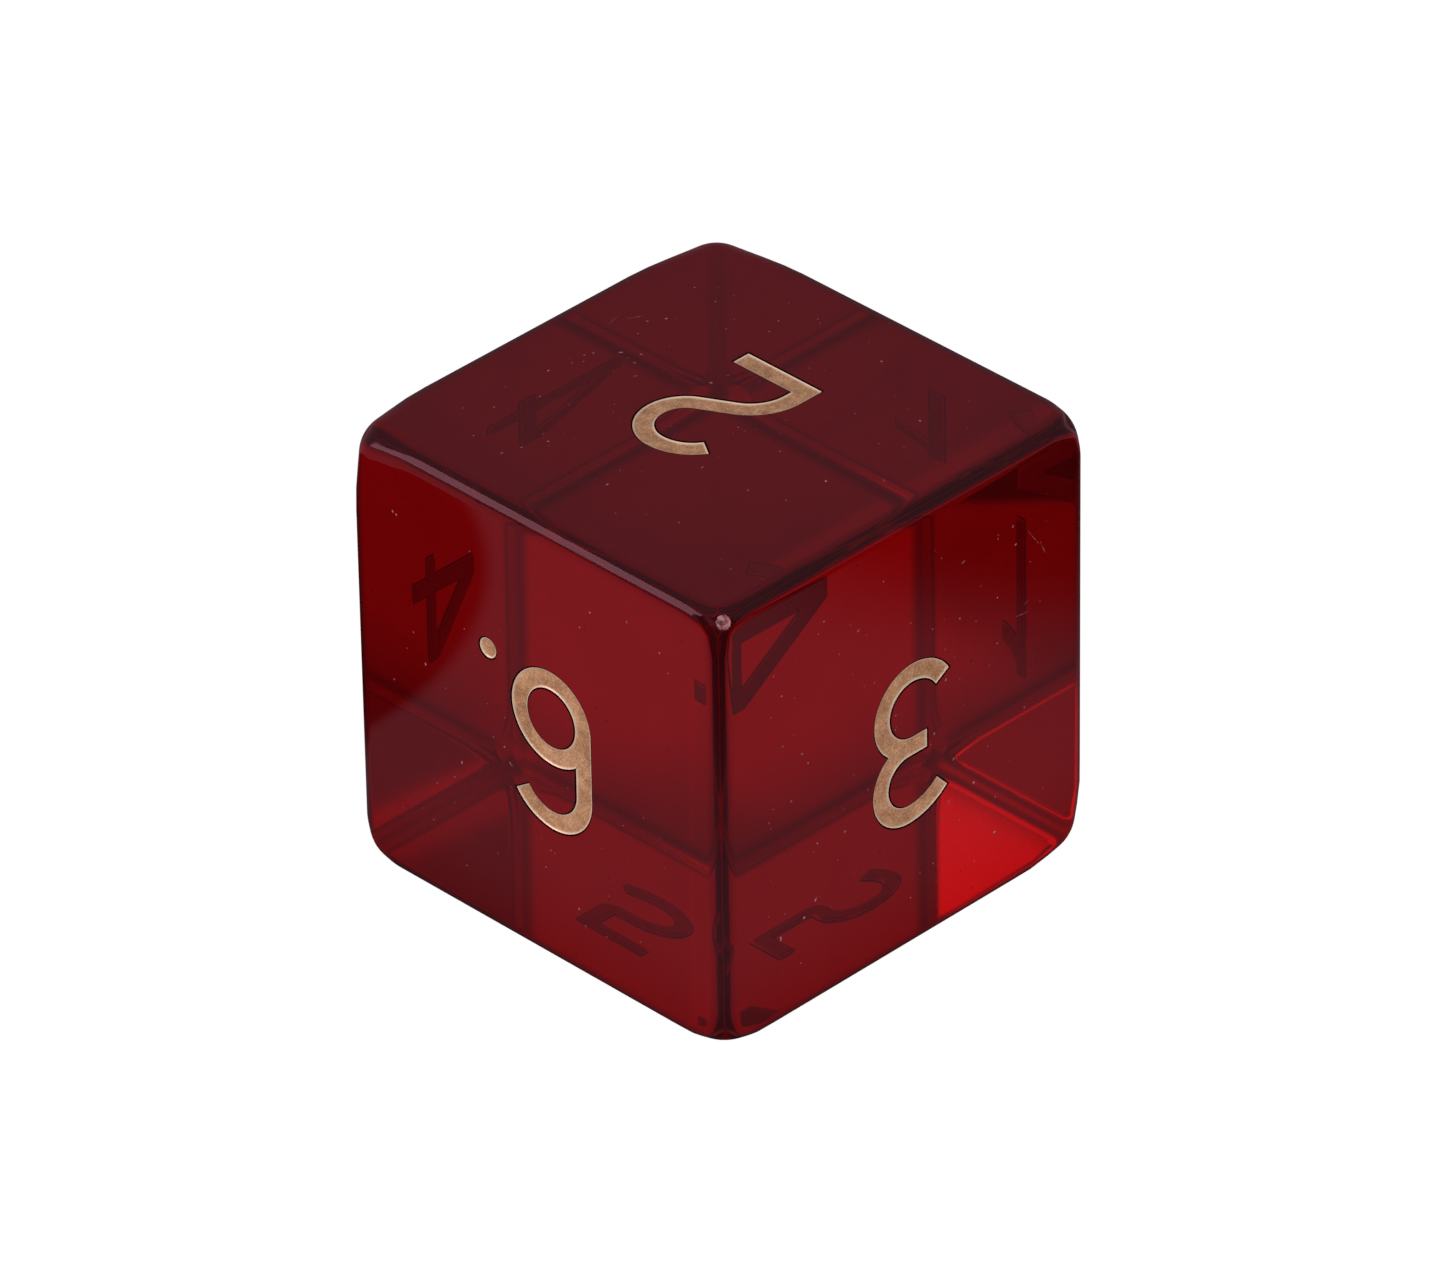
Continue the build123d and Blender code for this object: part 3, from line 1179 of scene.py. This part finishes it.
def surroundings_in_the_resin():
    """What the resin shows of the room."""
    dim_table("table_reflected", REFLECTED, front_light=0.0, back_light=1.0, left_light=1.0)
    dim_table("table_refracted", REFRACTED, front_light=0.75, back_light=0.72, left_light=0.62)
    dark_side("dark_side_reflected", REFLECTED, 0.008)
    dark_side("dark_side_refracted", REFRACTED, 0.15)
    left_flag()
    card("soft_light", REFRACTED, TO_THE_LEFT, distance=300, half_size=(80, 80),
         colour=(0.72, 0.72, 0.72))
    card("low_light", REFLECTED, TO_THE_LOW_LEFT, distance=290, half_size=(60, 92),
         colour=(2.2, 0.9, 1.15))
    card("dark_corner", REFLECTED | REFRACTED, TO_THE_BACK, distance=300, half_size=(110, 110),
         colour=(0.055, 0.11, 0.12))
    card("strip", REFRACTED, TO_THE_BACK, distance=60, half_size=(7, 0.95),
         colour=(0.15, 0.11, 0.12), offset=(-9, -5.2), turn=23)
    card("strip_edge", REFRACTED, TO_THE_BACK, distance=59, half_size=(7, 0.25),
         colour=(0.26, 0.11, 0.12), offset=(-9, -6.2), turn=23)


def world():
    surroundings = bpy.data.worlds.new("surroundings")
    surroundings.use_nodes = True
    background = surroundings.node_tree.nodes["Background"]
    background.inputs["Color"].default_value = (*ROOM, 1)
    bpy.context.scene.world = surroundings


LAMP_DISTANCE = 300
LAMP_SIZE = 200


def lamp(name, towards, watts):
    """A square lamp that lights only what scatters light: the paint, the haze and the dust."""
    light = bpy.data.lights.new(name, "AREA")
    light.shape = "SQUARE"
    light.size = LAMP_SIZE * MM
    light.energy = watts
    thing = bpy.data.objects.new(name, light)
    direction = Vector(towards).normalized()
    thing.location = Vector(CENTRE * MM) + direction * LAMP_DISTANCE * MM
    thing.rotation_euler = direction.to_track_quat("Z", "Y").to_euler()
    thing.visible_glossy = False
    thing.visible_transmission = False
    bpy.context.scene.collection.objects.link(thing)


# ---- the camera ----

CAMERA_AZIMUTH = 45.365     # degrees round from the -Y side towards +X
CAMERA_ELEVATION = 33.691
CAMERA_ROLL = -0.957
CAMERA_DISTANCE = 384.62
LENS = 310.7
SHIFT = (0.00139, -0.00403)


def camera():
    azimuth, elevation = math.radians(CAMERA_AZIMUTH), math.radians(CAMERA_ELEVATION)
    back = Vector((
        math.sin(azimuth) * math.cos(elevation),
        -math.cos(azimuth) * math.cos(elevation),
        math.sin(elevation),
    ))
    data = bpy.data.cameras.new("camera")
    data.lens = LENS
    data.shift_x, data.shift_y = SHIFT
    data.clip_start, data.clip_end = 0.01, 10.0
    thing = bpy.data.objects.new("camera", data)
    look = (-back).to_track_quat("-Z", "Y").to_matrix()
    roll = Matrix.Rotation(math.radians(CAMERA_ROLL), 3, "Z")
    place = Matrix.Translation(Vector(CENTRE * MM) + back * CAMERA_DISTANCE * MM)
    thing.matrix_world = place @ (look @ roll).to_4x4()
    bpy.context.scene.collection.objects.link(thing)
    bpy.context.scene.camera = thing


# ---- everything together ----

def main():
    bpy.context.scene.view_settings.view_transform = "Standard"
    outlines = [(node, number, Face(number).outline(node, strokes()))
                for node, number, strokes in ENGRAVINGS]

    body = resin_body(outlines, resin_material(), abraded_material())
    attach(body, "root")
    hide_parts("die_body")

    gold = paint_material()
    for node, number, loops in outlines:
        piece = paint_piece(node.replace("paint", "gold"), node, number, loops, gold)
        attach(piece, "root")
        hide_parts(node)

    white_surroundings()
    surroundings_in_the_resin()
    world()
    lamp("key_light", (-0.45, -1.0, 0.45), watts=1.25)
    lamp("fill_light", (1.0, -0.1, 0.35), watts=1.0)
    lamp("back_light", (-0.6, 0.8, 0.35), watts=0.4)
    camera()


main()
